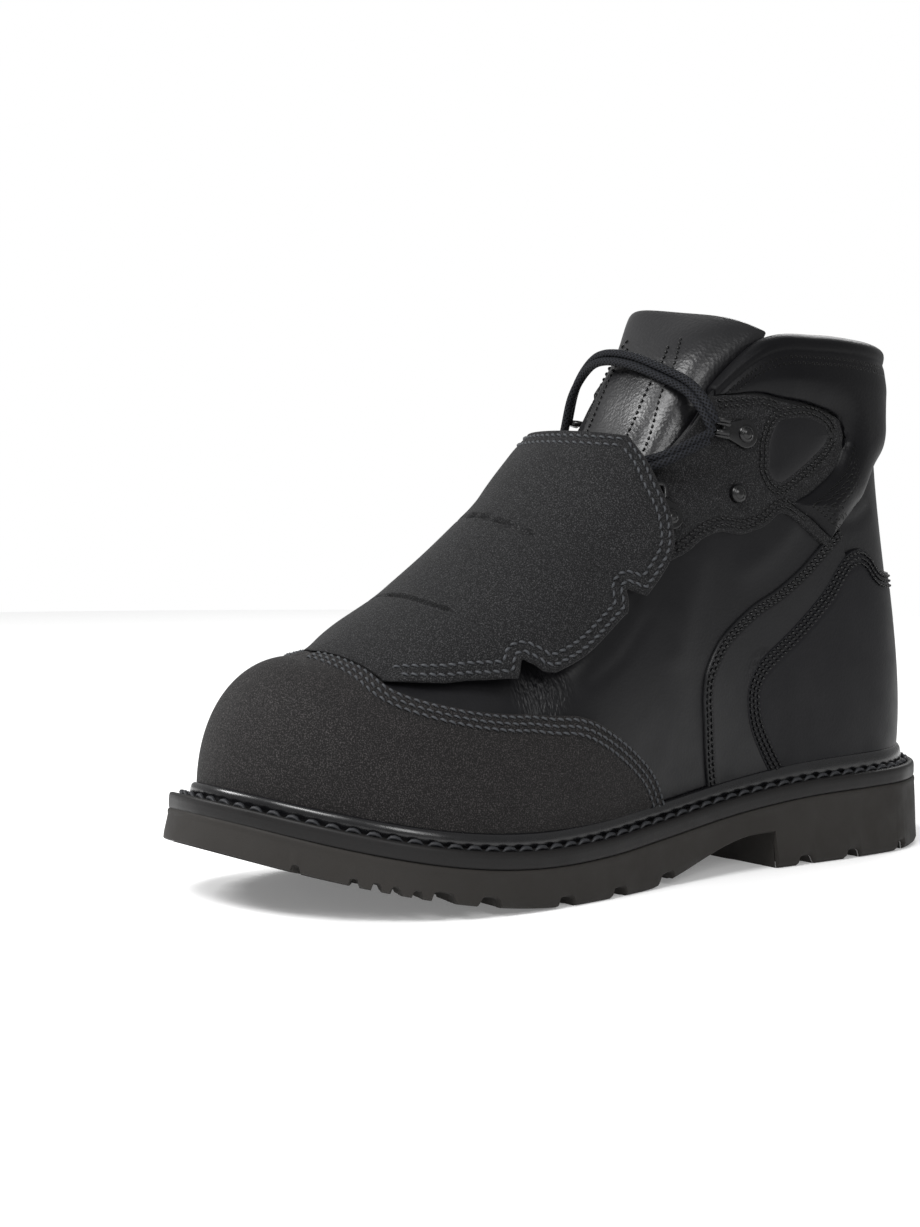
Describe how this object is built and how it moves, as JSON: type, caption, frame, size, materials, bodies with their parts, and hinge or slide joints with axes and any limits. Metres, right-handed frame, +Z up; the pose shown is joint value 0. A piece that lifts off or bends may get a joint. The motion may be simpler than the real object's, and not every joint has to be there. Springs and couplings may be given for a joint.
{
  "type": "metatarsal guard work boot",
  "caption": "Black leather work boot for the left foot with a metatarsal guard over the lacing, a toe cap, a padded collar, lace hooks and a lugged rubber sole with a heel.",
  "frame": {"origin": "bottom centre of the bounding box, on the floor under the boot", "axes": "+Z up, toe towards -Y and heel towards +Y, outer side of the left foot towards +X"},
  "size_m": [0.1191, 0.313, 0.2019],
  "materials": {
    "outsole_rubber": "matt dark brown-grey rubber",
    "midsole_rubber": "satin black rubber",
    "smooth_leather": "smooth matt black leather",
    "gloss_leather": "grained black leather with a soft gloss",
    "nubuck": "charcoal nubuck with a fine speckle",
    "lining": "matt black textile",
    "lace": "braided black cord",
    "black_metal": "gloss black enamel"
  },
  "bodies": {
    "root": {"outsole": "outsole_rubber", "midsole": "midsole_rubber", "welt": "midsole_rubber", "insole": "lining", "upper": "smooth_leather", "tongue": "gloss_leather", "toe_cap": "nubuck", "heel_counter": "smooth_leather", "saddle_lateral": "smooth_leather", "saddle_medial": "smooth_leather", "eyestay_lateral": "nubuck", "eyestay_medial": "nubuck", "collar": "gloss_leather", "metatarsal_guard": "nubuck", "hook_lateral": "black_metal", "hook_medial": "black_metal", "ring_lateral": "black_metal", "ring_medial": "black_metal", "rivet_lateral": "black_metal", "rivet_medial": "black_metal", "lace_over": "lace", "lace_under": "lace"}
  },
  "joints": []
}
